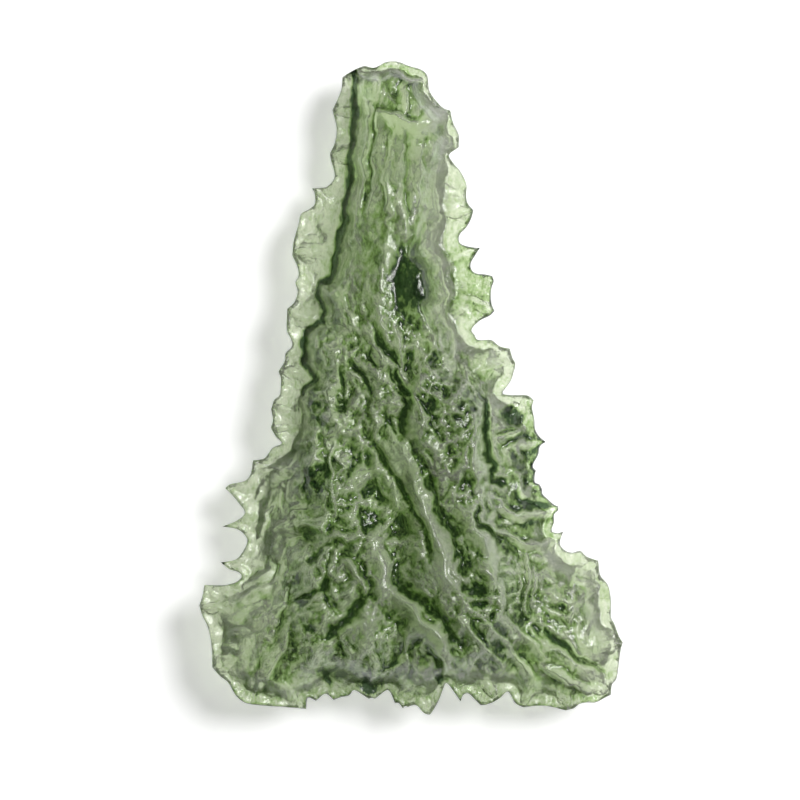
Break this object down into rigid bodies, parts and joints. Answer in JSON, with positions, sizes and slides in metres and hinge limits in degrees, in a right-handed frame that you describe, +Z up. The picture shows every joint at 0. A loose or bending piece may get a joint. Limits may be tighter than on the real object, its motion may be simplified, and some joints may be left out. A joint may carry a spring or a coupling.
{
  "type": "moldavite",
  "caption": "Rough piece of green tektite glass, long and three-cornered, with a deeply etched face and a sharp toothed rim; lies on its back.",
  "frame": {"origin": "on the surface the stone lies on, under the middle of its outline", "axes": "+Y along the stone to its narrow end, +Z up through its thickness, +X across it"},
  "size_m": [0.0266, 0.041, 0.0096],
  "materials": {
    "moldavite_glass": "clear moss green natural glass with an etched, softly shining surface"
  },
  "bodies": {
    "root": {"moldavite": "moldavite_glass"}
  },
  "joints": []
}
